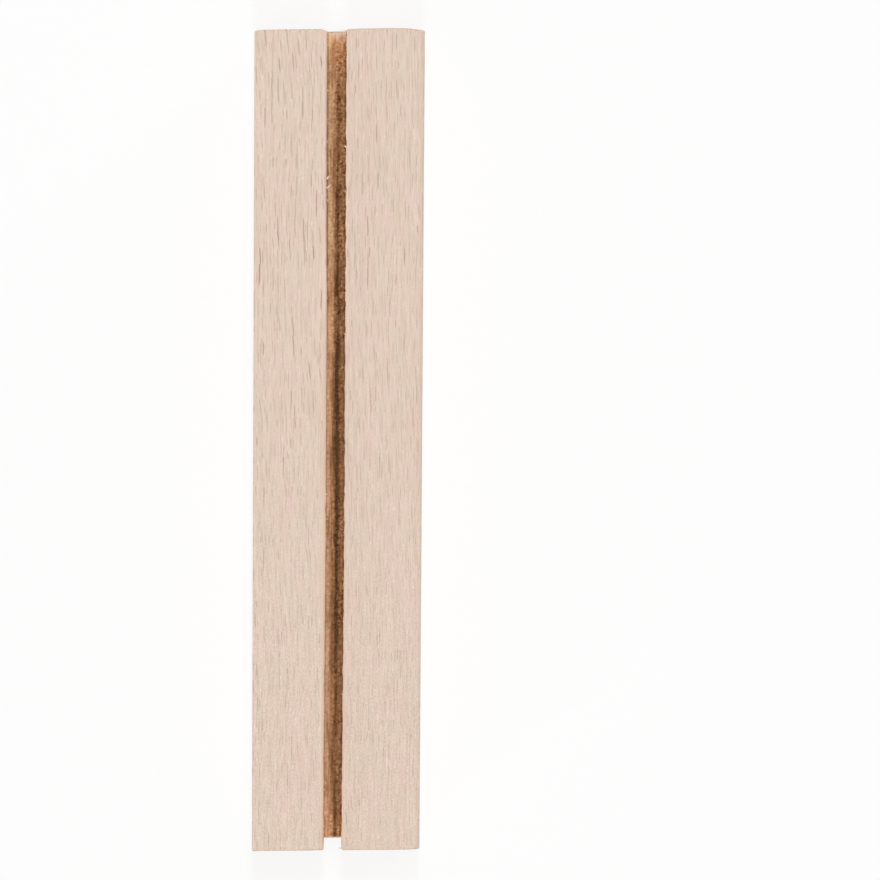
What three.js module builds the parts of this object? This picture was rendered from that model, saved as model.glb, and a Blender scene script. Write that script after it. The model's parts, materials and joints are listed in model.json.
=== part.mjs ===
// Slotted wooden stand: one block of beech with a saw kerf along its top, which holds a card upright.
// Millimetres, +Z up. The origin is the middle of the base, and +Y runs along the slot.

import * as THREE from 'three';

// Block
const BLOCK_LENGTH = 80; // Y, along the slot
const BLOCK_WIDTH = 16.5; // X, across the slot
const BLOCK_HEIGHT = 17.9; // Z

// Slot, one saw kerf wide and open at both ends
const SLOT_WIDTH = 1.75;
const SLOT_OFFSET = -0.225; // X of the slot's middle, so the cheek on the -X side is the thinner one
const FLOOR_THICKNESS = 5.4; // wood left under the slot

// Radii of the eased long edges. Sanding rounded two of them more than the rest.
const TOP_EDGE_LEFT_RADIUS = 0.15;
const TOP_EDGE_RIGHT_RADIUS = 0.55;
const MOUTH_LEFT_RADIUS = 0.3;
const MOUTH_RIGHT_RADIUS = 0.12;
const BASE_EDGE_RADIUS = 0.15;
const ARC_STEPS = 5; // chords in each eased edge

const beech = new THREE.MeshStandardMaterial({ color: 0xdfcbbb, roughness: 0.72, metalness: 0 });

// A point of the block's section: x across the slot, y up, and the radius that eases the corner there.
function corner(x, y, radius = 0) {
  return { point: new THREE.Vector2(x, y), radius };
}

// The section of the block, counter-clockwise from its lower left corner.
function sectionCorners() {
  const side = BLOCK_WIDTH / 2;
  const wallLeft = SLOT_OFFSET - SLOT_WIDTH / 2;
  const wallRight = SLOT_OFFSET + SLOT_WIDTH / 2;
  return [
    corner(-side, 0, BASE_EDGE_RADIUS),
    corner(side, 0, BASE_EDGE_RADIUS),
    corner(side, BLOCK_HEIGHT, TOP_EDGE_RIGHT_RADIUS),
    corner(wallRight, BLOCK_HEIGHT, MOUTH_RIGHT_RADIUS),
    corner(wallRight, FLOOR_THICKNESS),
    corner(wallLeft, FLOOR_THICKNESS),
    corner(wallLeft, BLOCK_HEIGHT, MOUTH_LEFT_RADIUS),
    corner(-side, BLOCK_HEIGHT, TOP_EDGE_LEFT_RADIUS),
  ];
}

// Points along a corner of the section: the corner itself, or an arc that meets both of its square edges.
// The arc stays within half of the shorter edge.
function easedCorner(corners, index) {
  const { point, radius } = corners[index];
  const before = corners.at(index - 1).point;
  const after = corners[(index + 1) % corners.length].point;
  if (radius === 0) {
    return [point];
  }
  const reach = Math.min(radius, point.distanceTo(before) / 2, point.distanceTo(after) / 2);
  const toBefore = before.clone().sub(point).setLength(reach);
  const toAfter = after.clone().sub(point).setLength(reach);
  const centre = point.clone().add(toBefore).add(toAfter);
  return Array.from({ length: ARC_STEPS + 1 }, (_, step) => {
    const angle = (Math.PI / 2) * (step / ARC_STEPS);
    return centre
      .clone()
      .addScaledVector(toAfter, -Math.cos(angle))
      .addScaledVector(toBefore, -Math.sin(angle));
  });
}

// The block: its section drawn out along Y, which leaves the two ends cut square.
function slottedBlock() {
  const corners = sectionCorners();
  const outline = corners.flatMap((_, index) => easedCorner(corners, index));
  const section = new THREE.Shape(outline);
  const geometry = new THREE.ExtrudeGeometry(section, { depth: BLOCK_LENGTH, bevelEnabled: false });
  geometry.rotateX(Math.PI / 2);
  geometry.translate(0, BLOCK_LENGTH / 2, 0);
  const block = new THREE.Mesh(geometry, beech);
  block.name = 'slotted_block';
  return block;
}

const stand = new THREE.Group();
stand.add(slottedBlock());

export default stand;
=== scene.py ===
"""Slotted wooden stand: one block of plain beech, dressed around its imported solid.

The frame is in metres with +Z up, and +Y runs along the slot. Shapes and grain are worked out in
millimetres, and left and right are as seen from above with +Y ahead.
"""

import json
import math
from collections import namedtuple

import bpy
import numpy as np
from mathutils import Matrix, Vector


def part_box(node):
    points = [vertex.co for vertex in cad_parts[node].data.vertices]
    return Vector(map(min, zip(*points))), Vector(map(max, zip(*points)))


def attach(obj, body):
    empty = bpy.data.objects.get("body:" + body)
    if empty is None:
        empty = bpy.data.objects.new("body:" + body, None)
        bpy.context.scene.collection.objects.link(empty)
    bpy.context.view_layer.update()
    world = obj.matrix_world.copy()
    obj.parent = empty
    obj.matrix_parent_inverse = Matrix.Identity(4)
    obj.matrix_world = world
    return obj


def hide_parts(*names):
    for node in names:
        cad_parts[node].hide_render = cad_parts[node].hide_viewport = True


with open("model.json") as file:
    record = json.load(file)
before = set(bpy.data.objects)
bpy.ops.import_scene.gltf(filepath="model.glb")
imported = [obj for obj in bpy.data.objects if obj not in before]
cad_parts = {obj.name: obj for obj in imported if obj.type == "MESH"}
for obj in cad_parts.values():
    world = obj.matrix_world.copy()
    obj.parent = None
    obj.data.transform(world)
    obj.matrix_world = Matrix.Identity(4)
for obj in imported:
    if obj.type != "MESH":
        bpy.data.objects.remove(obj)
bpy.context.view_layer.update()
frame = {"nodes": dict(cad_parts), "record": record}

MM = 0.001
X, Y, Z = 0, 1, 2
NODE = "slotted_block"
BODY = "root"
TINY = 1e-6  # a smaller difference is rounding
SAME_LEVEL = 0.01  # points of the solid that differ by less lie on one face

# The block and its slot, from the frame
SIDE, HALF_LENGTH, TOP = (float(reach / MM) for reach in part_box(NODE)[1])
slot_mount = next(m for m in frame["record"]["mounts"] if m["name"] == "slot_floor")
SLOT_MIDDLE = slot_mount["pos_m"][X] / MM
SLOT_FLOOR = slot_mount["pos_m"][Z] / MM
node_points = np.array([v.co for v in frame["nodes"][NODE].data.vertices]) / MM
slot_corners = node_points[np.abs(node_points[:, Z] - SLOT_FLOOR) < SAME_LEVEL]
WALL_LEFT = float(slot_corners[:, X].min())
WALL_RIGHT = float(slot_corners[:, X].max())
SLOT_HALF_WIDTH = (WALL_RIGHT - WALL_LEFT) / 2

# Mesh: its first step off an edge, the growth from step to step, the widest steps, and the sharpest bend
# that is still shaded smooth
FINE_STEP, STEP_GROWTH = 0.03, 1.5
ACROSS_STEP, ALONG_STEP = 0.7, 0.3
SMOOTH_ANGLE = math.radians(50)

# Random starts of the mesh, and the waves that make up a wandering line, as shares of its wavelength
EASE_SEED, RAGGED_SEED, SPLINTER_SEED = 11, 23, 5
WAVE_SHARES = (1, 0.57, 0.31)

# Eased edges: the radius of most of them, of two that were sanded more, and of the ends along Y
EDGE_EASE = 0.12
TOP_RIGHT_EASE = 0.55
MOUTH_LEFT_EASE = 0.3
END_EASE = 0.12
EASE_NEAR, EASE_FAR = 0.6, 1.4  # a wider easing holds this near its edge, and is gone this far away
EASE_UNEVEN = 0.3  # share by which an easing swells and shrinks along its edge
EASE_WAVE, EASE_RIPPLE = 23.0, 3.1  # wavelengths of that: the slow swell, and the quick one on it

# Torn edges of the slot's mouth: how far they wander, how deep that goes, and small chips out of them
RAGGED_LEFT, RAGGED_RIGHT = 0.015, 0.03
RAGGED_DEPTH = 1.2
RAGGED_WAVE = 4.0
CHIPS_LEFT, CHIPS_RIGHT = 8, 60
CHIP_DEPTH = (0.02, 0.09)
CHIP_LENGTH = (0.35, 1.0)

# The saw cut: its left edge opens near the +Y end, and it drifts to -X near the other one. Each is whole up
# to the first distance from its end and gone at the second.
MOUTH_FLARE = 0.14
FLARE_RUN = (14.0, 30.0)
SLOT_DRIFT = 0.085
DRIFT_RUN = (5.0, 32.0)
DRIFT_REACH = 5.0  # how far from the slot's middle the wood has stopped following the drift

# The block narrows by this share towards its -Y end
TAPER = 0.013

# The ends: sawn a little out of square. Worn places, as depth and reach: the corners of the +Y end, and the
# slot's floor at both ends.
SKEW_BACK, SKEW_FRONT = 0.3, 0.22
WEAR_LEFT = (0.14, 0.8)
WEAR_RIGHT = (0.27, 2.9)
WEAR_MOUTH_LEFT = (0.32, 0.9)
WEAR_MOUTH_RIGHT = (0.08, 1.6)
WEAR_FLOOR = (0.13, 1.0)
END_RUN = 3.0  # length of block over which an end's shape fades out

# Splinters at the slot's mouth: place along Y, side of the slot (-1 left, 1 right), length, lean to +Y
SPLINTERS = (
    (24.4, -1, 0.6, 0.75),
    (25.3, -1, 0.4, 1.0),
    (28.4, 1, 0.3, 0.4),
    (-5.2, -1, 0.25, -0.6),
    (-24.8, 1, 0.3, 0.5),
    (-31.9, 1, 0.3, -0.4),
    (-35.4, 1, 0.35, 0.9),
    (39.7, 1, 0.6, 0.05),
    (-39.7, 1, 0.45, 0.0),
)
SPLINTER_RADIUS = 0.07
SPLINTER_ROOT = (0.08, 0.17)  # how far its root lies inside the wall, and below the top
SPLINTER_BEND = (0.1, 0.45)  # how far its tip hangs, as a share of its length
SPLINTER_TAPER = 0.75  # share of its radius that is gone at the tip
SPLINTER_RINGS, SPLINTER_SIDES = 6, 6

# Fuzz: short thin splinters at random places, more of them on the right
FUZZ_COUNT = 110
FUZZ_MARGIN = 1.0  # bare length at each end
FUZZ_SIDES = (-1, 1, 1)
FUZZ_LENGTH = (0.1, 0.3)
FUZZ_LEAN = (0.25, 0.95)
FUZZ_RADIUS = 0.025

# Growth of the tree: the pith lies outside the block, beyond its +X side
PITH_X, PITH_Z = 57.0, 44.0
RING_EDGE = 62.0  # radius of one ring's outer edge
RING_WIDTH = 13.6
GRAIN_SLOPE = 0.012  # drift of the rays across the block, along its length

# Rays curve, so here they fan out from a point beyond the pith
FAN_X, FAN_Z = 60.0, 62.0
FAN_REACH = 80.0  # distance from there to the block, which turns angles into lengths
RAY_PITCH = 0.39

# Camera: its place over the top face and the point that it looks at
CAMERA_RISE = 706.0
CAMERA_ALONG = 26.1
AIM_X, AIM_Y = 9.92, 0.07
FRAME_WIDTH = 85.3  # what the picture takes in, at the top face
SENSOR = 36.0
CAMERA_ROLL = math.radians(0.32)

# Light: powers in watts, places and sizes in metres
WORLD_LEVEL = 0.3
STRIP_POWER = 8.85
STRIP_PLACE = (0.008, 0.1, 1.1)
STRIP_SIZE = (0.05, 1.4)
FILL_POWER = 4.0
FILL_PLACE = (0.85, 0.85, 0.18)
FILL_SIZE = (0.8, 0.3)
FLOOR_HALF = 3.0
FLOOR_WHITE = 0.95
FLOOR_LIT_SHARE = 0.2


def srgb(red, green, blue):
    """A colour written in 8-bit sRGB, as linear RGBA."""

    def linear(value):
        share = value / 255
        return share / 12.92 if share <= 0.04045 else ((share + 0.055) / 1.055) ** 2.4

    return (linear(red), linear(green), linear(blue), 1.0)


WOOD_CREAM = srgb(223, 203, 185)
WOOD_PINK = srgb(226, 202, 187)
FLECK = srgb(158, 121, 97)
# Colours of the mouth's rims: pale wood and partly a painted highlight. The cream also makes the pale +Y
# end of the slot's floor.
PALE_CREAM_AND_HIGHLIGHT = srgb(238, 206, 182)
RIM_TAN_AND_HIGHLIGHT = srgb(228, 196, 169)
END_TAN = srgb(214, 188, 160)
END_LATE = srgb(206, 175, 143)
RAY_BROWN = srgb(152, 120, 90)
RING_BROWN = srgb(146, 108, 74)
SPECK_BROWN = srgb(104, 76, 54)
SAWN_PINK = srgb(235, 184, 145)
SAWN_TAN = srgb(231, 190, 146)
SAWN_OLIVE = srgb(201, 150, 104)
SAWN_BROWN = srgb(160, 114, 74)
# Dark brown of scorch, and of the painted shade along the right of the slot's floor
SCORCH_AND_SHADE_BROWN = srgb(92, 58, 24)
SAWN_RED = srgb(142, 88, 50)
SPLINTER_CREAM = srgb(250, 228, 204)
WHITE = (1.0, 1.0, 1.0, 1.0)


# Mesh of the block


def graded(low, high, coarse):
    """Places from low to high: close together near both ends and coarse between them."""
    near, step = [0.0], FINE_STEP
    while step < coarse and near[-1] + step < (high - low) / 3:
        near.append(near[-1] + step)
        step *= STEP_GROWTH
    near = np.array(near)
    count = max(1, round((high - low - 2 * near[-1]) / coarse))
    middle = np.linspace(low + near[-1], high - near[-1], count + 1)
    return np.concatenate([low + near[:-1], middle, high - near[-2::-1]])


def joined_runs(stops, coarse):
    """The graded places of several runs that follow one another."""
    runs = [graded(low, high, coarse) for low, high in zip(stops, stops[1:])]
    return np.concatenate([run[:-1] for run in runs] + [[stops[-1]]])


def section_edges(solid):
    """The edges of a section made of solid cells, each as two lattice places that face out along +Y."""
    padded = np.pad(solid, 1)
    columns, rows = solid.shape
    for i in range(columns + 1):
        for k in range(rows):
            before, after = padded[i, k + 1], padded[i + 1, k + 1]
            if before != after:
                yield ((i, k), (i, k + 1)) if before else ((i, k + 1), (i, k))
    for i in range(columns):
        for k in range(rows + 1):
            below, above = padded[i + 1, k], padded[i + 1, k + 1]
            if below != above:
                yield ((i + 1, k), (i, k)) if below else ((i, k), (i + 1, k))


def prism_faces(solid, stations):
    """Quads of a prism of solid cells, as lattice places (i, j, k): its long faces, then both ends."""
    faces = []
    j = np.arange(stations)
    along = np.stack([0 * j, j, 0 * j], axis=1)[:, None, :]
    for (i0, k0), (i1, k1) in section_edges(solid):
        faces.append(along + np.array([(i0, 0, k0), (i0, 1, k0), (i1, 1, k1), (i1, 0, k1)]))
    i, k = np.nonzero(solid)
    cells = np.stack([i, 0 * i, k], axis=1)[:, None, :]
    front = np.array([(0, 0, 0), (1, 0, 0), (1, 0, 1), (0, 0, 1)])
    back = front[::-1] + np.array([0, stations, 0])
    faces += [cells + front, cells + back]
    return np.concatenate(faces)


def fade(distance, near, far):
    """1 up to near, 0 from far on, smooth between."""
    share = np.clip((far - distance) / (far - near), 0, 1)
    return share * share * (3 - 2 * share)


def wander(places, wavelength, random):
    """Smooth noise along a line, about -1 to 1: three waves of unlike length with random starts."""
    starts = random.uniform(0, 2 * math.pi, len(WAVE_SHARES))
    turns = [2 * math.pi * places / (wavelength * share) for share in WAVE_SHARES]
    return sum(np.sin(turn + start) for turn, start in zip(turns, starts)) / 2


def chips(places, count, random):
    """Depth of small breaks in an edge, at random places along it."""
    middles = random.uniform(-HALF_LENGTH, HALF_LENGTH, count)
    depths = random.uniform(*CHIP_DEPTH, count)
    lengths = random.uniform(*CHIP_LENGTH, count)
    shape = 1 - np.abs(places[:, None] - middles) / (lengths / 2)
    return (np.clip(shape, 0, None) * depths).max(axis=1)


def easing_radius(points, left, right):
    """How far the block's edges are rounded near each point: most edges a little, two of them more."""
    x, y, z = points.T
    random = np.random.default_rng(EASE_SEED)
    shallow = fade(TOP - z, EASE_NEAR, EASE_FAR)
    outer = shallow * right * fade(SIDE - x, EASE_NEAR, EASE_FAR)
    mouth = shallow * left * fade(WALL_LEFT - x, EASE_NEAR, EASE_FAR)
    radius = EDGE_EASE + (TOP_RIGHT_EASE - EDGE_EASE) * outer + (MOUTH_LEFT_EASE - EDGE_EASE) * mouth
    swell = wander(y, EASE_WAVE, random) * (0.5 + 0.5 * wander(y, EASE_RIPPLE, random))
    return radius * (1 + EASE_UNEVEN * swell)


def eased(points):
    """Moves points of the square-edged block onto its eased edges.

    Each point belongs to a cheek or to the base. It is pulled to a ball round the nearest place of that
    box shrunk by the easing, which leaves flat faces as they are.
    """
    x, y, z = points.T
    above = z > SLOT_FLOOR + TINY
    left = above & (x < SLOT_MIDDLE)
    right = above & (x > SLOT_MIDDLE)
    in_slot = ~above & (x > WALL_LEFT + TINY) & (x < WALL_RIGHT - TINY)
    low = np.stack([
        np.where(right, WALL_RIGHT, -SIDE),
        np.full_like(y, -HALF_LENGTH),
        np.where(above, -np.inf, 0.0),
    ], axis=1)
    high = np.stack([
        np.where(left, WALL_LEFT, SIDE),
        np.full_like(y, HALF_LENGTH),
        np.where(above, TOP, np.where(in_slot, SLOT_FLOOR, np.inf)),
    ], axis=1)
    radius = easing_radius(points, left, right)
    reach = np.stack([radius, np.full_like(y, END_EASE), radius], axis=1)
    core = np.clip(points, low + reach, high - reach)
    out = (points - core) / reach
    length = np.linalg.norm(out, axis=1, keepdims=True)
    return np.where(length > 1, core + reach * out / np.maximum(length, TINY), points)


def ragged(points):
    """Lets the two edges of the slot's mouth wander, takes chips out of them and opens the left one."""
    x, y, z = points.T
    random = np.random.default_rng(RAGGED_SEED)
    shallow = fade(TOP - z, 0, RAGGED_DEPTH)
    at_left = shallow * fade(WALL_LEFT - x, 0, RAGGED_DEPTH) * (x < SLOT_MIDDLE) * (z > SLOT_FLOOR)
    at_right = shallow * fade(x - WALL_RIGHT, 0, RAGGED_DEPTH) * (x > SLOT_MIDDLE) * (z > SLOT_FLOOR)
    flare = MOUTH_FLARE * fade(HALF_LENGTH - y, *FLARE_RUN)
    shift_left = RAGGED_LEFT * wander(y, RAGGED_WAVE, random) - chips(y, CHIPS_LEFT, random) - flare
    shift_right = RAGGED_RIGHT * wander(y, RAGGED_WAVE, random) + chips(y, CHIPS_RIGHT, random)
    return np.stack([x + at_left * shift_left + at_right * shift_right, y, z], axis=1)


def worn(points):
    """Narrows the block to one end, lets the slot drift, and skews and wears the ends."""
    x, y, z = points.T

    def hollow(distance, wear):
        depth, reach = wear
        return depth * np.clip(1 - np.maximum(distance, 0) / reach, 0, None) ** 2

    from_left = (x + SIDE) / (2 * SIDE)
    cheek = np.clip((z - SLOT_FLOOR) / (TOP - SLOT_FLOOR), 0, 1)
    left_mouth = hollow(WALL_LEFT - x, WEAR_MOUTH_LEFT) * (x < SLOT_MIDDLE)
    right_mouth = hollow(x - WALL_RIGHT, WEAR_MOUTH_RIGHT) * (x > SLOT_MIDDLE)
    back = SKEW_BACK * (1 - from_left) + hollow(SIDE + x, WEAR_LEFT) + hollow(SIDE - x, WEAR_RIGHT)
    from_middle = np.abs(x - SLOT_MIDDLE)
    near_floor = fade(np.abs(z - SLOT_FLOOR), 0, WEAR_FLOOR[1])
    slot_end = near_floor * hollow(from_middle - SLOT_HALF_WIDTH, WEAR_FLOOR)
    back = back + cheek * (left_mouth + right_mouth) + slot_end
    front = SKEW_FRONT * from_left + slot_end
    moved = y - back * fade(HALF_LENGTH - y, 0, END_RUN) + front * fade(HALF_LENGTH + y, 0, END_RUN)
    narrowed = x * (1 - TAPER * (HALF_LENGTH - y) / (2 * HALF_LENGTH))
    follows = fade(from_middle, SLOT_HALF_WIDTH, DRIFT_REACH)
    drift = SLOT_DRIFT * fade(HALF_LENGTH + y, *DRIFT_RUN) * follows
    return np.stack([narrowed - drift, moved, z], axis=1)


# The long faces, laid flat for baking: the axis that each faces along, its place there, the axis across it,
# its limits there, and the width that it gets on the map per millimetre
PANELS = (
    (Z, TOP, X, -SIDE, WALL_LEFT, 1.0),
    (Z, TOP, X, WALL_RIGHT, SIDE, 1.0),
    (Z, SLOT_FLOOR, X, WALL_LEFT, WALL_RIGHT, 2.0),
    (Z, 0.0, X, -SIDE, SIDE, 0.7),
    (X, -SIDE, Z, 0.0, TOP, 0.8),
    (X, SIDE, Z, 0.0, TOP, 0.8),
    (X, WALL_LEFT, Z, SLOT_FLOOR, TOP, 0.45),
    (X, WALL_RIGHT, Z, SLOT_FLOOR, TOP, 0.45),
)
PANEL_GAP = 0.5
END_SCALE = (2.0, 1.5)  # width and height of the ends on the map, per millimetre


def flat_layout(corners):
    """Where each face's corners lie on the baking map: long faces side by side, both ends over them."""
    faces_along = np.argmin(np.ptp(corners, axis=1), axis=1)
    middles = corners.mean(axis=1)
    flat = np.zeros(corners.shape[:2] + (2,))
    start = PANEL_GAP
    for axis, place, across, low, high, share in PANELS:
        level = np.abs(middles[:, axis] - place) < TINY
        mine = level & (faces_along == axis) & (middles[:, across] > low) & (middles[:, across] < high)
        flat[mine, :, 0] = start + (corners[mine][:, :, across] - low) * share
        flat[mine, :, 1] = PANEL_GAP + corners[mine][:, :, Y] + HALF_LENGTH
        start += (high - low) * share + PANEL_GAP
    width = start
    ends_at = 2 * (PANEL_GAP + HALF_LENGTH)
    for side in (-1, 1):
        mine = (faces_along == Y) & (middles[:, Y] * side > 0)
        left = width / 2 if side > 0 else PANEL_GAP
        flat[mine, :, 0] = left + (corners[mine][:, :, X] + SIDE) * END_SCALE[0]
        flat[mine, :, 1] = ends_at + corners[mine][:, :, Z] * END_SCALE[1]
    height = ends_at + TOP * END_SCALE[1] + PANEL_GAP
    return flat / (width, height)


def block_mesh():
    """The block with its slot, as one closed mesh of quads, finest along its edges."""
    xs = joined_runs([-SIDE, WALL_LEFT, WALL_RIGHT, SIDE], ACROSS_STEP)
    zs = joined_runs([0.0, SLOT_FLOOR, TOP], ACROSS_STEP)
    ys = graded(-HALF_LENGTH, HALF_LENGTH, ALONG_STEP)
    middle_x = (xs[:-1] + xs[1:]) / 2
    middle_z = (zs[:-1] + zs[1:]) / 2
    over_slot = (middle_x > WALL_LEFT) & (middle_x < WALL_RIGHT)
    solid = ~(over_slot[:, None] & (middle_z > SLOT_FLOOR)[None, :])
    i, j, k = np.moveaxis(prism_faces(solid, len(ys) - 1), -1, 0)
    shape = (len(xs), len(ys), len(zs))
    used, faces = np.unique(np.ravel_multi_index((i, j, k), shape), return_inverse=True)
    used_i, used_j, used_k = np.unravel_index(used, shape)
    square = np.stack([xs[used_i], ys[used_j], zs[used_k]], axis=1)
    mesh = bpy.data.meshes.new("beech_block")
    mesh.from_pydata(worn(ragged(eased(square))) * MM, [], faces.reshape(-1, 4).tolist())
    layout = mesh.uv_layers.new(name="OFBake")
    layout.data.foreach_set("uv", flat_layout(np.stack([xs[i], ys[j], zs[k]], axis=-1)).ravel())
    mesh.shade_smooth()
    mesh.set_sharp_from_angle(angle=SMOOTH_ANGLE)
    return mesh


# Splinters


def sliver(path, radius):
    """A closed tapering tube along a path: its points and faces."""
    sides = SPLINTER_SIDES
    turns = np.arange(sides) * 2 * math.pi / sides
    heading = path[-1] - path[0]
    first = np.cross(heading, (0, 0, 1))
    first /= np.linalg.norm(first)
    second = np.cross(heading, first)
    second /= np.linalg.norm(second)
    ring = np.cos(turns)[:, None] * first + np.sin(turns)[:, None] * second
    widths = radius * (1 - SPLINTER_TAPER * np.linspace(0, 1, len(path)) ** 2)
    points = np.concatenate([place + width * ring for place, width in zip(path, widths)])
    faces = []
    for level in range(len(path) - 1):
        for side in range(sides):
            a = level * sides + side
            b = level * sides + (side + 1) % sides
            faces.append((a, b, b + sides, a + sides))
    last = (len(path) - 1) * sides
    faces.append(tuple(range(sides - 1, -1, -1)))
    faces.append(tuple(range(last, last + sides)))
    return points, faces


def splinter_path(along, side, length, lean, random):
    """From inside the mouth's edge out over the slot, bent a little down."""
    wall = WALL_LEFT if side < 0 else WALL_RIGHT
    inside, below = SPLINTER_ROOT
    root = np.array([wall + side * inside, along, TOP - below])
    heading = np.array([-side * math.cos(lean), math.sin(lean), 0.0])
    share = np.linspace(0, 1, SPLINTER_RINGS)[:, None]
    bend = random.uniform(*SPLINTER_BEND) * length
    return root + share * length * heading - share ** 2 * np.array([0, 0, bend])


def splinter_mesh():
    """All splinters and all fuzz, as one mesh of closed slivers."""
    random = np.random.default_rng(SPLINTER_SEED)
    wanted = [(*splinter, SPLINTER_RADIUS) for splinter in SPLINTERS]
    fuzz_end = HALF_LENGTH - FUZZ_MARGIN
    for along in random.uniform(-fuzz_end, fuzz_end, FUZZ_COUNT):
        lean = random.uniform(*FUZZ_LEAN) * random.choice((-1, 1))
        side = random.choice(FUZZ_SIDES)
        wanted.append((along, side, random.uniform(*FUZZ_LENGTH), lean, FUZZ_RADIUS))
    points, faces, count = [], [], 0
    for along, side, length, lean, radius in wanted:
        some_points, some_faces = sliver(splinter_path(along, side, length, lean, random), radius)
        points.append(some_points)
        faces += [tuple(number + count for number in face) for face in some_faces]
        count += len(some_points)
    mesh = bpy.data.meshes.new("mouth_splinters")
    mesh.from_pydata(np.concatenate(points) * MM, [], faces)
    mesh.shade_smooth()
    return mesh


# Shader graphs


class Signal:
    """A shader value written like a number: each operation adds one Math node."""

    def __init__(self, graph, socket):
        self.graph = graph
        self.socket = socket

    def math(self, operation, *others):
        return self.graph.math(operation, self, *others)

    def __add__(self, other):
        return self.math("ADD", other)

    def __sub__(self, other):
        return self.math("SUBTRACT", other)

    def __mul__(self, other):
        return self.math("MULTIPLY", other)

    def __truediv__(self, other):
        return self.math("DIVIDE", other)

    def __rsub__(self, other):
        return self.graph.math("SUBTRACT", other, self)

    __radd__ = __add__
    __rmul__ = __mul__

    def __abs__(self):
        return self.math("ABSOLUTE")

    def ramp(self, start, end):
        """0 at start, 1 at end, smooth between and held beyond."""
        return self.graph.ramp(self, start, end)

    def spread(self, low, high):
        """A share from 0 to 1, as a value from low to high."""
        return self * (high - low) + low


class Graph:
    """The node tree of one material, with short calls for the nodes that the wood needs."""

    MIX_FIRST, MIX_SECOND, MIX_RESULT = 6, 7, 2  # the colour sockets of a Mix node
    TONE_RED, TONE_BLUE = 0.75, 1.15  # how far red and blue follow a change of tone

    def __init__(self, owner):
        owner.use_nodes = True
        self.tree = owner.node_tree
        self.tree.nodes.clear()

    def node(self, kind, **settings):
        made = self.tree.nodes.new(kind)
        for name, value in settings.items():
            setattr(made, name, value)
        return made

    def put(self, value, socket):
        if isinstance(value, Signal):
            self.tree.links.new(value.socket, socket)
        else:
            socket.default_value = value

    def math(self, operation, *values):
        made = self.node("ShaderNodeMath", operation=operation)
        for value, socket in zip(values, made.inputs):
            self.put(value, socket)
        return Signal(self, made.outputs[0])

    def ramp(self, value, start, end):
        made = self.node("ShaderNodeMapRange", interpolation_type="SMOOTHSTEP")
        for name, put in (("Value", value), ("From Min", start), ("From Max", end)):
            self.put(put, made.inputs[name])
        return Signal(self, made.outputs["Result"])

    def vector(self, x, y, z=0.0):
        made = self.node("ShaderNodeCombineXYZ")
        for value, socket in zip((x, y, z), made.inputs):
            self.put(value, socket)
        return Signal(self, made.outputs[0])

    def split(self, vector):
        made = self.node("ShaderNodeSeparateXYZ")
        self.put(vector, made.inputs[0])
        return [Signal(self, socket) for socket in made.outputs]

    def noise(self, places, sizes, detail=1.0):
        """Noise in three dimensions, about -0.5 to 0.5, with cells of the given sizes."""
        made = self.node("ShaderNodeTexNoise")
        cells = self.vector(*(place / size for place, size in zip(places, sizes)))
        self.put(cells, made.inputs["Vector"])
        made.inputs["Scale"].default_value = 1.0
        made.inputs["Detail"].default_value = detail
        return Signal(self, made.outputs[0]) - 0.5

    def scatter(self, first, second, sizes):
        """Scattered points: the offsets to the nearest one, and two random numbers of its own."""
        made = self.node("ShaderNodeTexVoronoi", voronoi_dimensions="2D")
        made.inputs["Scale"].default_value = 1.0
        along_first, along_second = first / sizes[0], second / sizes[1]
        self.put(self.vector(along_first, along_second), made.inputs["Vector"])
        at_first, at_second, _ = self.split(Signal(self, made.outputs["Position"]))
        one, other, _ = self.split(Signal(self, made.outputs["Color"]))
        return (along_first - at_first) * sizes[0], (along_second - at_second) * sizes[1], one, other

    def mix(self, share, first, second):
        made = self.node("ShaderNodeMix", data_type="RGBA")
        self.put(share, made.inputs["Factor"])
        self.put(first, made.inputs[self.MIX_FIRST])
        self.put(second, made.inputs[self.MIX_SECOND])
        return Signal(self, made.outputs[self.MIX_RESULT])

    def scaled(self, colour, share):
        made = self.node("ShaderNodeVectorMath", operation="SCALE")
        if isinstance(colour, Signal):
            self.put(colour, made.inputs[0])
        else:
            made.inputs[0].default_value = colour[:3]
        self.put(share, made.inputs["Scale"])
        return Signal(self, made.outputs[0])

    def toned(self, colour, tone):
        """A colour made lighter or darker: red follows less and blue more, which keeps its hue."""
        made = self.node("ShaderNodeVectorMath", operation="MULTIPLY")
        change = tone - 1.0
        self.put(colour, made.inputs[0])
        shares = self.vector(1.0 + change * self.TONE_RED, tone, 1.0 + change * self.TONE_BLUE)
        self.put(shares, made.inputs[1])
        return Signal(self, made.outputs[0])

    def place(self):
        """Millimetres along X, Y and Z in the frame."""
        made = self.node("ShaderNodeTexCoord")
        return self.split(self.scaled(Signal(self, made.outputs["Object"]), 1 / MM))

    def end_facing(self):
        """How far the surface faces along the grain, from 0 to 1."""
        made = self.node("ShaderNodeTexCoord")
        return abs(self.split(Signal(self, made.outputs["Normal"]))[Y])

    def surface(self, colour, roughness, height, specular):
        """Finishes the material: height is in millimetres."""
        shader = self.node("ShaderNodeBsdfPrincipled")
        shader.inputs["Specular IOR Level"].default_value = specular
        self.put(colour, shader.inputs["Base Color"])
        self.put(roughness, shader.inputs["Roughness"])
        bump = self.node("ShaderNodeBump")
        bump.inputs["Distance"].default_value = MM
        self.put(height, bump.inputs["Height"])
        self.tree.links.new(bump.outputs[0], shader.inputs["Normal"])
        self.tree.links.new(shader.outputs[0], self.node("ShaderNodeOutputMaterial").inputs[0])

    def seen_directly(self):
        """1 for what the camera sees, itself or in a mirror or glass."""
        path = self.node("ShaderNodeLightPath")
        kinds = ("Camera", "Glossy", "Transmission")
        camera, glossy, clear = (Signal(self, path.outputs[f"Is {kind} Ray"]) for kind in kinds)
        return camera.math("MAXIMUM", glossy).math("MAXIMUM", clear)


# Beech


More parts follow.
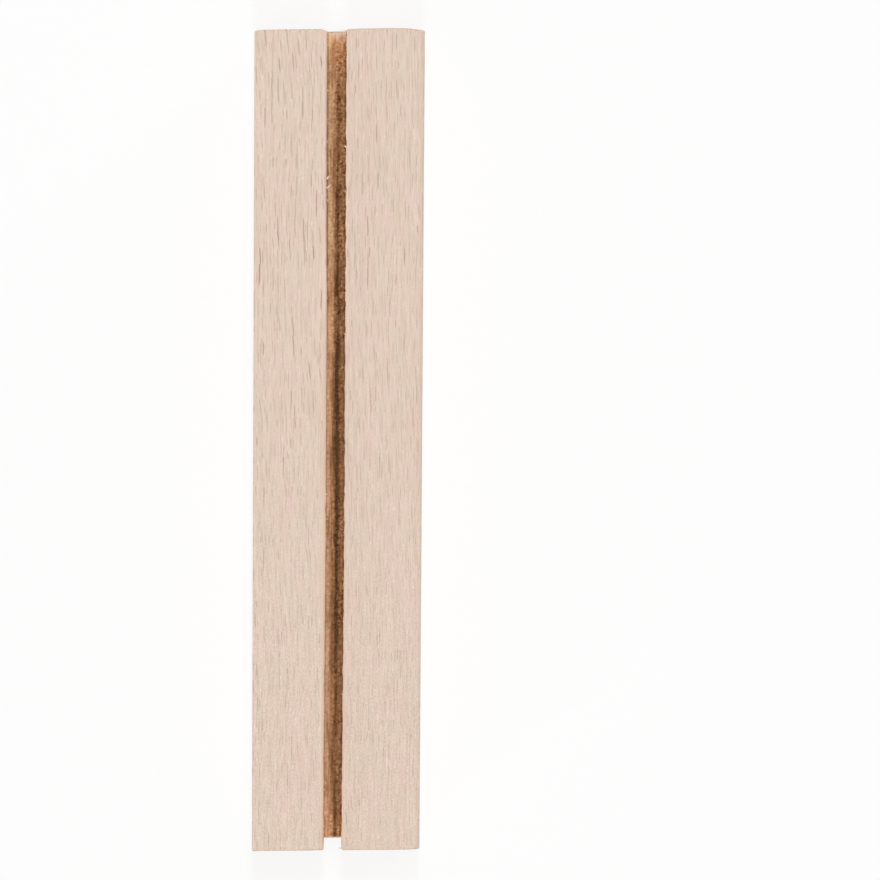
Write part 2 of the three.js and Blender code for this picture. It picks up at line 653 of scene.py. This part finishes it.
Tree = namedtuple("Tree", "place grain late ring_line")
Finish = namedtuple("Finish", "colour height")
Spindles = namedtuple("Spindles", "spacing half_width half_length shift", defaults=[(0.0, 0.0)])

# How far the rings and the rays stray from plain curves, in noise cells along X, Y and Z
RING_STRAY = 1.2
RING_CELLS = (9.0, 26.0, 9.0)
RAY_STRAY = 0.8
RAY_CELLS = (7.0, 15.0, 7.0)
OTHER_NOISE = 300.0  # a step along X that makes one noise unlike another

# Rings: the half width of the line at a ring's edge, the shares of a ring over which its late wood and its
# dark band come up, and the radii over which that band does
RING_LINE = 0.13
LATE_WOOD = (0.70, 0.97)
DARK_BAND = (0.94, 1.0)
DARK_RADII = (66.0, 70.0)


def tree_place(g):
    """Where a point lies in the tree: across its rays, out along them, and how near to a ring's edge."""
    x, y, z = place = g.place()
    ring_stray = g.noise(place, RING_CELLS, detail=2.0)
    ray_stray = g.noise((x + OTHER_NOISE, y, z), RAY_CELLS, detail=2.0)
    out_x, out_z = PITH_X - x, PITH_Z - z
    radius = (out_x * out_x + out_z * out_z).math("SQRT") + ring_stray * RING_STRAY
    fan_x, fan_z = FAN_X - x, FAN_Z - z
    around = fan_z.math("ARCTAN2", fan_x) * FAN_REACH + y * GRAIN_SLOPE + ray_stray * RAY_STRAY
    outward = (fan_x * fan_x + fan_z * fan_z).math("SQRT")
    ring = ((radius - RING_EDGE) / RING_WIDTH).math("FRACT")
    to_edge = ring.math("MINIMUM", 1.0 - ring) * RING_WIDTH
    dark_band = ring.ramp(*DARK_BAND) * radius.ramp(*DARK_RADII)
    ring_line = (1.0 - to_edge.ramp(0.0, RING_LINE)).math("MAXIMUM", dark_band)
    return Tree(place, (around, y, outward), ring.ramp(*LATE_WOOD), ring_line)


# Spindles: the shortest and longest as shares of the usual length, how much of each is soft outline, and
# the strength of the faintest and the strongest
SPINDLE_LENGTHS = (0.4, 1.6)
SPINDLE_OUTLINE = 0.6
SPINDLE_STRENGTHS = (0.1, 1.0)


def spindles(g, across, along, kind):
    """Thin spindles, scattered, each with its own length and strength."""
    shift_across, shift_along = kind.shift
    aside, ahead, long, strong = g.scatter(across + shift_across, along + shift_along, kind.spacing)
    ahead = ahead / kind.half_length / long.spread(*SPINDLE_LENGTHS)
    ahead = ahead * ahead
    inside = 1.0 - abs(aside) / kind.half_width - ahead * ahead
    return inside.ramp(0.0, SPINDLE_OUTLINE) * (strong * strong).spread(*SPINDLE_STRENGTHS)


# Planed faces: noise cells across the rays, along the block and out along the rays
HUE_CELLS = (1.3, 3.6, 1.3)
STREAK_CELLS = (0.19, 5.0, 0.19)
HATCH_CELLS = (0.15, 1.9, 0.15)
LANE_CELLS = (0.35, 24.0, 0.35)
WIGGLE_CELLS = (0.8, 1.3, 0.8)
FINE_CELLS = (0.12, 0.2, 0.12)  # along X, Y and Z
HUE_RANGE = (-0.24, 0.24)
LANE_RANGE = (-0.18, 0.12)
WIGGLE = 0.07

# Their flecks: bold ones in lanes, which fade where the face is calm and a little to the right
BOLD_FLECKS = Spindles((0.36, 2.3), 0.05, 1.05)
FAINT_FLECKS = Spindles((0.22, 1.6), 0.036, 0.7, shift=(7.3, 3.1))
PALE_DOTS = Spindles((0.4, 1.1), 0.06, 0.16, shift=(2.9, 8.7))
PALE_LINES = Spindles((0.3, 1.8), 0.034, 0.6, shift=(4.1, 5.9))
OFF_LANE, IN_LANE = 0.35, 1.0
CALM_RUN = (20.0, -28.0)
CALM_LOSS = 0.7
RIGHT_RUN = (-2.0, 4.0)
RIGHT_LOSS = 0.2

# What each does to the tone and to the colour, and the height of the surface
STREAK_TONE, HATCH_TONE, LATE_TONE = 0.27, 0.2, 0.02
FINE_TONE, FINE_TONE_CALM = 0.18, 0.52
PALE_DOT_TONE, PALE_LINE_TONE = 0.12, 0.1
FAINT_SHARE, BOLD_SHARE = 0.4, 0.78
STREAK_HEIGHT, FINE_HEIGHT, BOLD_DEPTH = 0.02, 0.01, 0.006


def long_grain(g, tree):
    """Planed faces: ray flecks in lanes and fine streaks along the grain, calmer towards the -Y end."""
    x = tree.place[X]
    around, y, _ = tree.grain
    calm = y.ramp(*CALM_RUN)
    hue = g.noise(tree.grain, HUE_CELLS)
    streak = g.noise(tree.grain, STREAK_CELLS)
    hatch = g.noise(tree.grain, HATCH_CELLS)
    fine = g.noise(tree.place, FINE_CELLS)
    lane = g.noise(tree.grain, LANE_CELLS).ramp(*LANE_RANGE)
    wiggled = around + g.noise(tree.grain, WIGGLE_CELLS) * WIGGLE
    bold = spindles(g, wiggled, y, BOLD_FLECKS) * lane.spread(OFF_LANE, IN_LANE)
    bold = bold * (1.0 - calm * CALM_LOSS) * (1.0 - x.ramp(*RIGHT_RUN) * RIGHT_LOSS)
    faint = spindles(g, wiggled, y, FAINT_FLECKS)
    pale_dots = spindles(g, around, y, PALE_DOTS)
    pale_lines = spindles(g, wiggled, y, PALE_LINES)
    tone = 1.0 + streak * STREAK_TONE + hatch * HATCH_TONE - tree.late * LATE_TONE
    tone = tone + fine * (calm * calm).spread(FINE_TONE, FINE_TONE_CALM)
    tone = tone + pale_dots * PALE_DOT_TONE + pale_lines * PALE_LINE_TONE
    colour = g.toned(g.mix(hue.ramp(*HUE_RANGE), WOOD_CREAM, WOOD_PINK), tone)
    colour = g.mix(faint * FAINT_SHARE, colour, FLECK)
    colour = g.mix(bold * BOLD_SHARE, colour, FLECK)
    return Finish(colour, streak * STREAK_HEIGHT + fine * FINE_HEIGHT - bold * BOLD_DEPTH)


# Sawn ends: noise cells along X, Y and Z, then across the rays, along the block and out along the rays
CLOUD_CELLS = (3.0, 9.0, 3.0)
PORE_CELLS = (0.14, 2.0, 0.14)
STAIN_CELLS = (0.8, 9.0, 0.8)
WOBBLE_CELLS = (0.6, 3.0, 1.6)
PATCH_CELLS = (0.5, 3.0, 1.3)

# Their lines: clear high on the end and weak low on it, patchy, and broken up by pores
LINED_HEIGHTS = (3.0, 11.0)
LINED_CLOUD = 12.0
LINES_LOW, LINES_HIGH = 0.35, 1.0
LINE_WOBBLE = 0.32
LINE_WAVE, LINE_PATCHES, LINE_PORES = 0.55, 1.7, 0.8
LINE_DARK = (-0.1, -0.9)
PORE_DARK = (-0.08, -0.3)
LATE_LOSS = 0.7  # share of lines and pores that late wood lacks
END_RAYS = Spindles((RAY_PITCH, 2.4), 0.06, 1.1, shift=(3.7, 0.0))

# Specks in clusters, and stains
SPECK_SPACING = (1.15, 1.15)
SPECK_RADII = (0.06, 0.14)
SPECK_OUTLINE = (0.5, 1.0)
SPECK_CLOUD = 1.1
SPECK_RANGE = (0.45, 0.5)
STAIN_RANGE = (0.07, 0.22)

# What each does to the tone and to the colour, and the height of the surface
LINE_TONE, PATCH_TONE, CLOUD_TONE = 0.25, 0.3, 0.15
PORE_TONE_UNLINED, PORE_TONE_LINED = 2.8, 1.6
LINE_SHARE, PORE_SHARE, RAY_SHARE = 0.5, 0.5, 0.35
STAIN_SHARE, RING_SHARE, SPECK_SHARE = 0.3, 0.55, 0.85
LINE_HEIGHT, PORE_HEIGHT, SPECK_DEPTH = 0.008, 0.03, 0.02


def end_specks(g, x, z, cloud):
    """Small dark specks of unlike size, in clusters."""
    aside, above, chance, size = g.scatter(x, z, SPECK_SPACING)
    gap = (aside * aside + above * above).math("SQRT") / size.spread(*SPECK_RADII)
    return (1.0 - gap.ramp(*SPECK_OUTLINE)) * (chance + cloud * SPECK_CLOUD).ramp(*SPECK_RANGE)


def end_grain(g, tree):
    """Sawn ends: fine lines along the rays, pores between them, ring edges and a few dark specks."""
    x, _, z = tree.place
    around, _, outward = tree.grain
    porous = 1.0 - tree.late * LATE_LOSS
    cloud = g.noise(tree.place, CLOUD_CELLS, detail=3.0)
    lined = (z + cloud * LINED_CLOUD).ramp(*LINED_HEIGHTS).spread(LINES_LOW, LINES_HIGH)
    pores = g.noise(tree.place, PORE_CELLS)
    wobble = g.noise(tree.grain, WOBBLE_CELLS)
    patch = g.noise(tree.grain, PATCH_CELLS, detail=2.0)
    waves = ((around + wobble * LINE_WOBBLE) * (2 * math.pi / RAY_PITCH)).math("SINE")
    lines = waves * (LINE_WAVE + patch * LINE_PATCHES) + pores * LINE_PORES
    rays = spindles(g, around, outward, END_RAYS)
    speck = end_specks(g, x, z, cloud)
    stain = g.noise(tree.place, STAIN_CELLS, detail=2.0).ramp(*STAIN_RANGE)
    pore_tone = pores * lined.spread(PORE_TONE_UNLINED, PORE_TONE_LINED)
    tone = 1.0 + (lines * lined * LINE_TONE + patch * PATCH_TONE + pore_tone) * porous + cloud * CLOUD_TONE
    colour = g.toned(g.mix(tree.late, END_TAN, END_LATE), tone)
    colour = g.mix(lines.ramp(*LINE_DARK) * lined * porous * LINE_SHARE, colour, RAY_BROWN)
    colour = g.mix(pores.ramp(*PORE_DARK) * porous * PORE_SHARE, colour, RAY_BROWN)
    colour = g.mix(rays * lined * porous * RAY_SHARE, colour, RAY_BROWN)
    colour = g.mix(stain * STAIN_SHARE, colour, RAY_BROWN)
    colour = g.mix(tree.ring_line * RING_SHARE, colour, RING_BROWN)
    colour = g.mix(speck * SPECK_SHARE, colour, SPECK_BROWN)
    height = (lines * lined * LINE_HEIGHT + pores * PORE_HEIGHT) * porous - speck * SPECK_DEPTH
    return Finish(colour, height)


# Inside the slot: noise cells along X, Y and Z
BURN_CELLS = (0.45, 5.0, 1.6)
SCORE_CELLS = (0.2, 2.4, 0.3)
GRIT_CELLS = (0.24, 0.26, 0.24)
ROUGH_CELLS = (2.0, 3.0, 2.0)
WALL_START = (0.15, 0.6)  # heights over the slot's floor between which its look gives way to the walls'

# Marks of the saw on the walls: arcs of its blade, in cells along them and across them
BLADE_DIAMETER = 120.0
BLADE_CELLS = (0.6, 50.0, 50.0)

# Scorch along the floor, partly painted shade: a broad band, which also stands for the right wall's shade,
# with a dark core, whose middles and outlines are in half widths of the slot. The band is heaviest midway
# along and weakest at the +Y end, where that is painted light from the open end.
BAND_MIDDLE, BAND_OUTLINE = 0.18, (0.05, 0.78)
CORE_MIDDLE, CORE_OUTLINE = 0.15, (0.0, 0.24)
BURN_SWAY = 0.5
BAND_SCORCH_AND_SHADE, MIDWAY_SCORCH, OPEN_END_LIGHT = 0.36, 0.3, 0.4
MIDWAY, MIDWAY_RUN = -2.0, (8.0, 30.0)
# Painted light: the band loses scorch over this run towards the open +Y end
OPEN_END_LIGHT_RUN = (32.0, 38.0)
# Scorch of the core and of all sawn wood, then painted shade: darker towards the right wall, lighter to the
# left
CORE_SCORCH, BASE_SCORCH, RIGHTWARD_SHADE = 0.2, 0.12, 0.05
SCORE_SCORCH, BLADE_SCORCH = 1.2, 0.5
BROWN_RANGE = (0.05, 0.5)
SCORCH_AND_SHADE_RANGE = (0.4, 0.95)

# Rough wood, on the right and in patches, with pale dust in it, and a few red marks
ROUGH_RANGE = (-0.5, 0.2)
PATCHY_RANGE = (-0.2, 0.1)
ROUGH_SHARES = (0.25, 1.0)
DUST = Spindles((0.22, 0.26), 0.06, 0.07)
DUST_SHARES = (0.15, 1.0)
RED_MARKS = Spindles((0.5, 4.5), 0.07, 0.8, shift=(1.3, 0.0))

# Colours: pink on the left, or tan towards +Y, olive on the right, and pale at the worn +Y end
TAN_RUN = (6.0, 22.0)
OLIVE_BURN = 1.4
OLIVE_RANGE = (-0.9, -0.28)
DUST_SHARE, RED_SHARE = 0.45, 0.6
PALE_END_RUN = (38.4, 40.0)
PALE_END_UNEVEN = 2.5

# Tone and height of the surface, those of the grit on smooth and on rough wood
GRIT_TONE, SCORE_TONE = (1.1, 3.5), 0.8
GRIT_HEIGHT, SCORE_HEIGHT, BLADE_HEIGHT = (0.03, 0.08), 0.05, 0.06


def blade_marks(g, place):
    """Arcs that the saw's blade left on the slot's walls."""
    x, y, z = place
    rise = (z - SLOT_FLOOR).math("MAXIMUM", 0.0)
    run = (rise * BLADE_DIAMETER - rise * rise).math("SQRT")
    return g.noise((y - run, x, z), BLADE_CELLS)


def sawn_slot(g, tree):
    """Inside the slot: tan wood that the saw left rough and scorched, most along the floor's middle, with
    painted shade towards the right wall and painted light at the open +Y end.
    """
    x, y, z = tree.place
    on_floor = 1.0 - (z - SLOT_FLOOR).ramp(*WALL_START)
    across = (x - SLOT_MIDDLE) / SLOT_HALF_WIDTH
    burn = g.noise(tree.place, BURN_CELLS, detail=3.0)
    score = g.noise(tree.place, SCORE_CELLS, detail=2.0)
    grit = g.noise(tree.place, GRIT_CELLS)
    blade = blade_marks(g, tree.place) * (1.0 - on_floor)
    swayed = across + burn * BURN_SWAY
    # The band: scorch, and painted shade of the right wall
    scorch_and_shade_band = on_floor * (1.0 - abs(swayed - BAND_MIDDLE).ramp(*BAND_OUTLINE))
    core = on_floor * (1.0 - abs(swayed - CORE_MIDDLE).ramp(*CORE_OUTLINE))
    midway = 1.0 - abs(y - MIDWAY).ramp(*MIDWAY_RUN)
    # The band is painted lighter near the open +Y end, where light comes in
    heavy = BAND_SCORCH_AND_SHADE + midway * MIDWAY_SCORCH - y.ramp(*OPEN_END_LIGHT_RUN) * OPEN_END_LIGHT
    # Painted shade: darker towards the right wall, lighter towards the left one
    scorch_and_shade = BASE_SCORCH + across * RIGHTWARD_SHADE + scorch_and_shade_band * heavy + core * CORE_SCORCH
    scorch_and_shade = scorch_and_shade + burn + score * SCORE_SCORCH + blade * BLADE_SCORCH
    patchy = g.noise(tree.place, ROUGH_CELLS).ramp(*PATCHY_RANGE)
    rough = (across - burn).ramp(*ROUGH_RANGE) * patchy.spread(*ROUGH_SHARES)
    dust = spindles(g, x, y, DUST) * rough.spread(*DUST_SHARES) * on_floor
    red = spindles(g, x, y, RED_MARKS) * on_floor
    tone = 1.0 + grit * rough.spread(*GRIT_TONE) + score * SCORE_TONE
    pale_end = on_floor * (y + score * PALE_END_UNEVEN).ramp(*PALE_END_RUN)
    left = g.mix(y.ramp(*TAN_RUN), SAWN_PINK, SAWN_TAN)
    colour = g.mix((across + burn * OLIVE_BURN + score).ramp(*OLIVE_RANGE), left, SAWN_OLIVE)
    colour = g.mix(scorch_and_shade.ramp(*BROWN_RANGE), colour, SAWN_BROWN)
    colour = g.mix(scorch_and_shade.ramp(*SCORCH_AND_SHADE_RANGE), colour, SCORCH_AND_SHADE_BROWN)
    colour = g.mix(dust * DUST_SHARE, colour, SAWN_OLIVE)
    colour = g.mix(red * RED_SHARE, colour, SAWN_RED)
    colour = g.mix(pale_end, g.toned(colour, tone), PALE_CREAM_AND_HIGHLIGHT)
    return Finish(colour, blade * BLADE_HEIGHT + score * SCORE_HEIGHT + grit * rough.spread(*GRIT_HEIGHT))


# Where each finish shows: how far a face turns to an end, and where sawn wood stops and starts beside the
# slot, below the top and under the slot's floor
END_TURN = (0.35, 0.85)
SAWN_BESIDE = (0.16, 0.24)
SAWN_DEPTH = (0.25, 0.8)
SAWN_UNDER = (-0.6, -0.2)

# Bright rims of the slot's mouth, partly pale torn wood and partly a painted highlight of its rounded
# edges:
# widths on the right and on the left, outline, depth, and the place along Y where they are palest
RIM_WIDTHS = (0.14, 0.32)
RIM_SIDES = (0.1, -0.1)
RIM_OUTLINE = (0.8, 1.6)
RIM_DEPTH = (0.15, 0.6)
RIM_PALEST, RIM_PALE_RUN = 28.0, (12.0, 22.0)
RIM_HIGHLIGHT_SHARE = 0.8

# Gloss: the roughness of planed wood, what ends and sawn wood add, and what a millimetre of height adds
PLANED_ROUGH, END_ROUGH, SAWN_ROUGH = 0.68, 0.1, 0.08
HEIGHT_ROUGH = 4.0
SPECULAR = 0.3


def beech_material():
    """The block's wood: planed outside, end grain at both ends, sawn in the slot, pale with a painted
    highlight at its mouth.
    """
    material = bpy.data.materials.new("beech")
    g = Graph(material)
    tree = tree_place(g)
    x, y, z = tree.place
    long, end, sawn = long_grain(g, tree), end_grain(g, tree), sawn_slot(g, tree)
    on_end = g.end_facing().ramp(*END_TURN)
    depth = TOP - z
    beside = abs(x - SLOT_MIDDLE) - SLOT_HALF_WIDTH
    # The rims of the mouth: pale wood with a painted highlight, wider on the left
    rim_width = (x - SLOT_MIDDLE).ramp(*RIM_SIDES).spread(*RIM_WIDTHS)
    rim_highlight = (1.0 - (beside / rim_width).ramp(*RIM_OUTLINE)) * (1.0 - depth.ramp(*RIM_DEPTH)) * (1.0 - on_end)
    rim_highlight_colour = g.mix(abs(y - RIM_PALEST).ramp(*RIM_PALE_RUN), PALE_CREAM_AND_HIGHLIGHT, RIM_TAN_AND_HIGHLIGHT)
    inside = (1.0 - beside.ramp(*SAWN_BESIDE)) * depth.ramp(*SAWN_DEPTH)
    inside = inside * (z - SLOT_FLOOR).ramp(*SAWN_UNDER) * (1.0 - on_end)
    colour = g.mix(on_end, long.colour, end.colour)
    colour = g.mix(rim_highlight * RIM_HIGHLIGHT_SHARE, colour, rim_highlight_colour)
    colour = g.mix(inside, colour, sawn.colour)
    height = long.height * (1.0 - on_end) + end.height * on_end + sawn.height * inside
    roughness = PLANED_ROUGH + on_end * END_ROUGH + inside * SAWN_ROUGH + long.height * HEIGHT_ROUGH
    g.surface(colour, roughness, height, SPECULAR)
    return material


# Fibres: cells of their shade along X, Y and Z, their roughness, and what the shade does
FIBRE_CELLS = (0.1, 0.2, 0.1)
FIBRE_ROUGH = 0.75
FIBRE_TONE, FIBRE_ROUGH_CHANGE, FIBRE_HEIGHT = 0.25, 0.2, 0.01


def splinter_material():
    """Pale loose fibres."""
    material = bpy.data.materials.new("pale_fibre")
    g = Graph(material)
    shade = g.noise(g.place(), FIBRE_CELLS)
    colour = g.scaled(SPLINTER_CREAM, 1.0 + shade * FIBRE_TONE)
    g.surface(colour, FIBRE_ROUGH + shade * FIBRE_ROUGH_CHANGE, shade * FIBRE_HEIGHT, SPECULAR)
    return material


# Stage


def add_object(name, data):
    made = bpy.data.objects.new(name, data)
    bpy.context.scene.collection.objects.link(made)
    return made


def add_floor():
    """A white floor that keeps shadows: part of its white answers to light, the rest glows."""
    mesh = bpy.data.meshes.new("floor")
    corners = ((-1, -1), (1, -1), (1, 1), (-1, 1))
    square = [(x * FLOOR_HALF, y * FLOOR_HALF, 0.0) for x, y in corners]
    mesh.from_pydata(square, [], [(0, 1, 2, 3)])
    material = bpy.data.materials.new("white_floor")
    g = Graph(material)
    lit = g.node("ShaderNodeBsdfDiffuse")
    lit.inputs["Color"].default_value = (FLOOR_WHITE, FLOOR_WHITE, FLOOR_WHITE, 1.0)
    own = g.node("ShaderNodeEmission")
    both = g.node("ShaderNodeMixShader")
    g.put(g.seen_directly() * (1.0 - FLOOR_LIT_SHARE), both.inputs[0])
    g.tree.links.new(lit.outputs[0], both.inputs[1])
    g.tree.links.new(own.outputs[0], both.inputs[2])
    g.tree.links.new(both.outputs[0], g.node("ShaderNodeOutputMaterial").inputs[0])
    mesh.materials.append(material)
    add_object("floor", mesh)


def add_world():
    """Even light from all round, which the camera sees as white."""
    world = bpy.data.worlds.new("studio")
    bpy.context.scene.world = world
    g = Graph(world)
    background = g.node("ShaderNodeBackground")
    background.inputs["Color"].default_value = WHITE
    g.put(g.seen_directly() * (1.0 - WORLD_LEVEL) + WORLD_LEVEL, background.inputs["Strength"])
    g.tree.links.new(background.outputs[0], g.node("ShaderNodeOutputWorld").inputs[0])


def facing_matrix(place, aim, roll=0.0):
    """The matrix of a camera or lamp at place that looks at aim, with +Y up in its view."""
    back = (place - aim).normalized()
    right = Vector((0, 1, 0)).cross(back).normalized()
    turn = Matrix((right, back.cross(right), back)).transposed()
    return Matrix.Translation(place) @ (turn @ Matrix.Rotation(roll, 3, "Z")).to_4x4()


def add_lamp(name, place, size, power):
    """A rectangular softbox that faces the block."""
    lamp = bpy.data.lights.new(name, "AREA")
    lamp.shape = "RECTANGLE"
    lamp.size, lamp.size_y = size
    lamp.energy = power
    made = add_object(name, lamp)
    made.matrix_world = facing_matrix(Vector(place), Vector((0, 0, TOP * MM)))
    made.visible_camera = False


def add_camera():
    """The view from above, with the block to the left of the picture's middle."""
    camera = bpy.data.cameras.new("camera")
    camera.sensor_width = SENSOR
    camera.lens = SENSOR * CAMERA_RISE / FRAME_WIDTH
    made = add_object("camera", camera)
    place = Vector((SLOT_MIDDLE, CAMERA_ALONG, TOP + CAMERA_RISE)) * MM
    made.matrix_world = facing_matrix(place, Vector((AIM_X, AIM_Y, TOP)) * MM, CAMERA_ROLL)
    bpy.context.scene.camera = made


def add_piece(name, mesh, material):
    """A visible piece of the stand."""
    piece = add_object(name, mesh)
    mesh.materials.append(material)
    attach(piece, BODY)
    return piece


block = add_piece("beech_block", block_mesh(), beech_material())
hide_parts(NODE)
add_piece("mouth_splinters", splinter_mesh(), splinter_material())

add_floor()
add_world()
add_lamp("overhead_strip", STRIP_PLACE, STRIP_SIZE, STRIP_POWER)
add_lamp("fill_one", FILL_PLACE, FILL_SIZE, FILL_POWER)
add_lamp("fill_other", (-FILL_PLACE[0], -FILL_PLACE[1], FILL_PLACE[2]), FILL_SIZE, FILL_POWER)
add_camera()
bpy.context.scene.view_settings.view_transform = "Standard"
